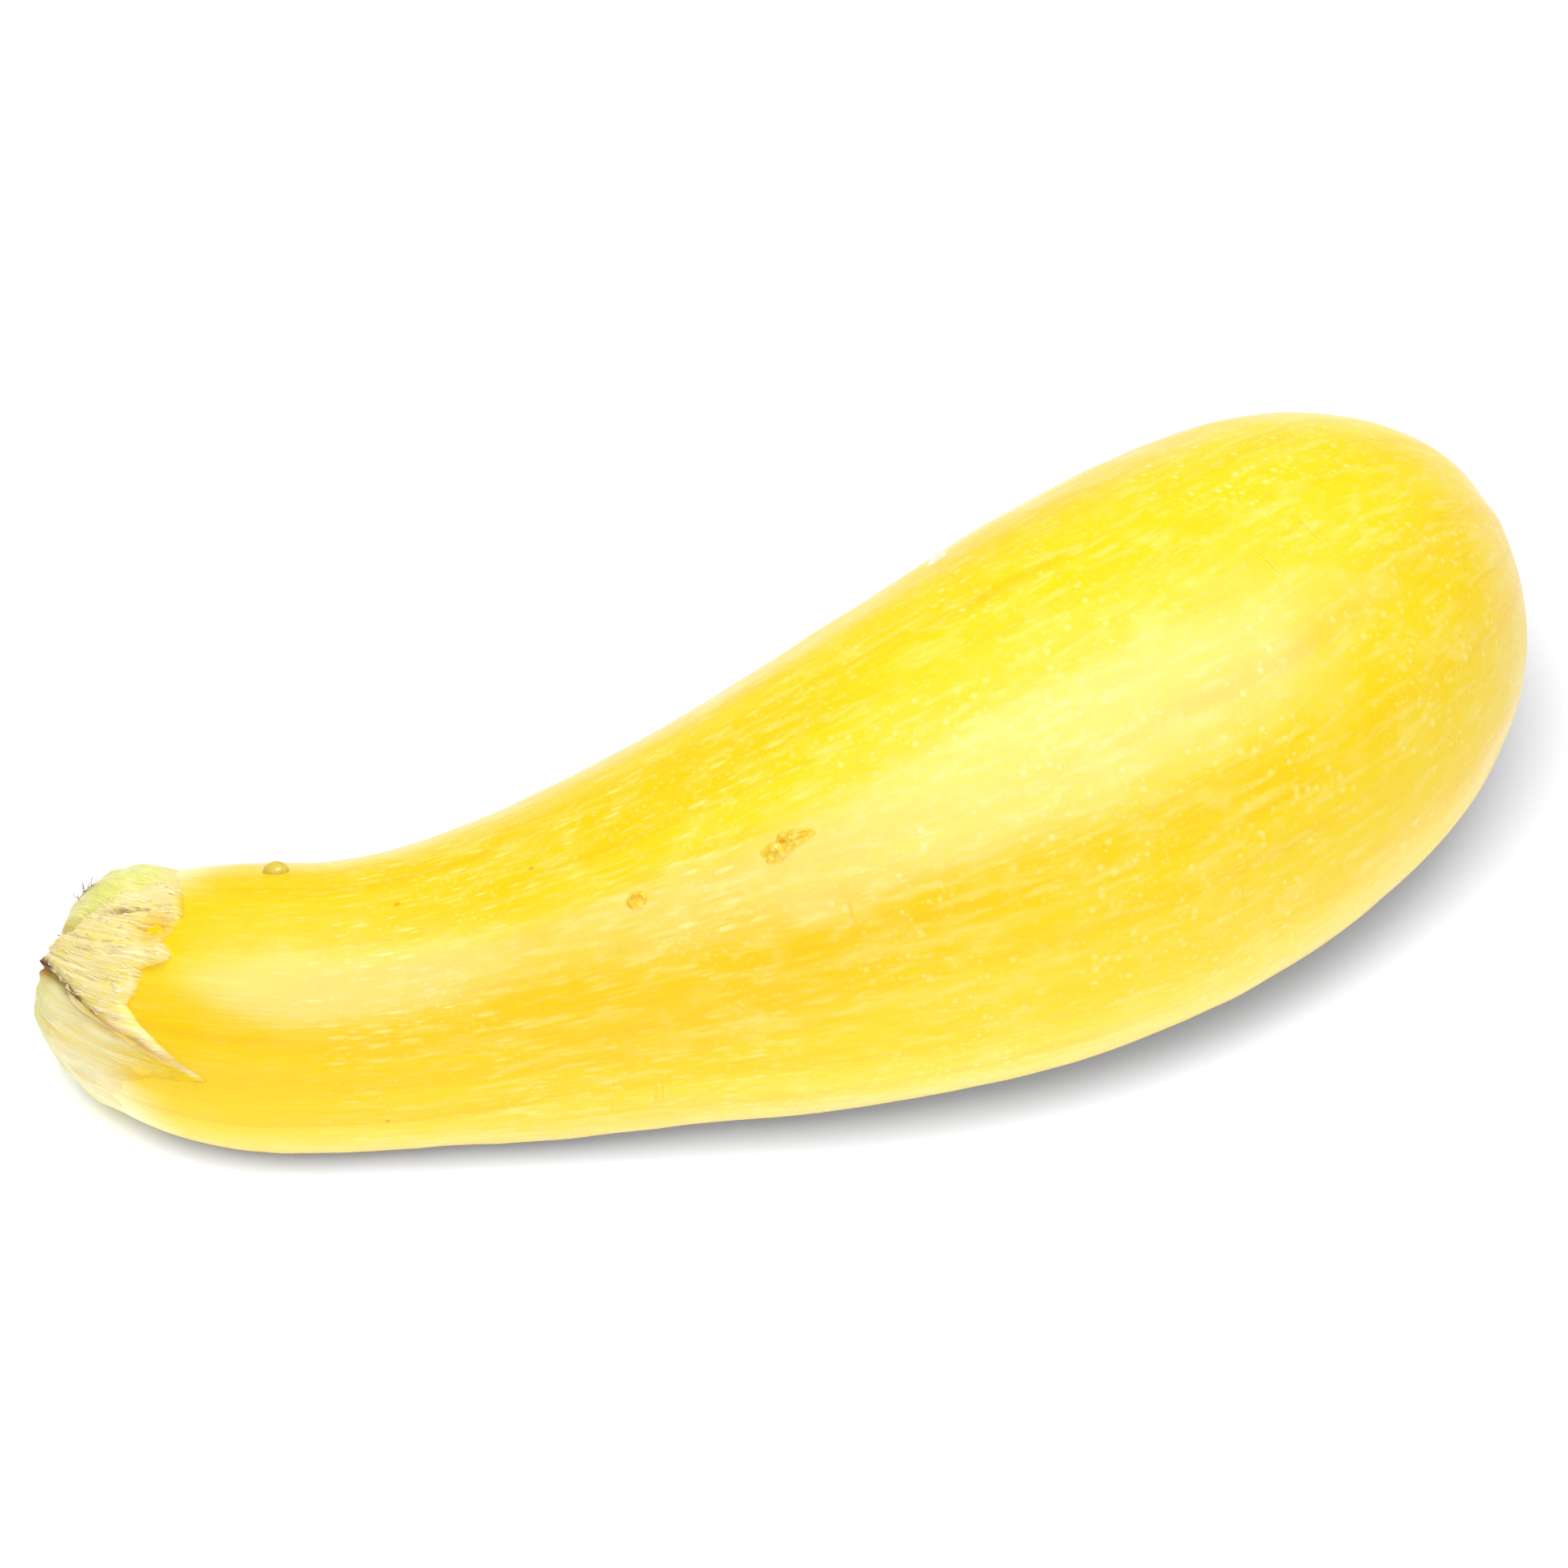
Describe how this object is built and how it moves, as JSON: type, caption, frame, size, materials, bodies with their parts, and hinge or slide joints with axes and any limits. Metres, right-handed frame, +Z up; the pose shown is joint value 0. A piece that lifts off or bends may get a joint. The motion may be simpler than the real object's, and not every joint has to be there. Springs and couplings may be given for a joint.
{
  "type": "squash",
  "caption": "Whole yellow summer squash lying on its side: crooked narrow neck with a torn stem stub, swelling into a blunt bulb.",
  "frame": {"origin": "middle of the object's box, on the surface it lies on", "axes": "+X from the stem end to the blossom end, the longest extent; +Z up"},
  "size_m": [0.1854, 0.0758, 0.0625],
  "materials": {
    "skin": "waxy, softly glossy ripe skin with pale speckles and streaks",
    "stem": "torn, fibrous, pale green to straw-coloured stem tissue"
  },
  "bodies": {
    "root": {"fruit": "skin", "stem_stub": "stem"}
  },
  "joints": []
}
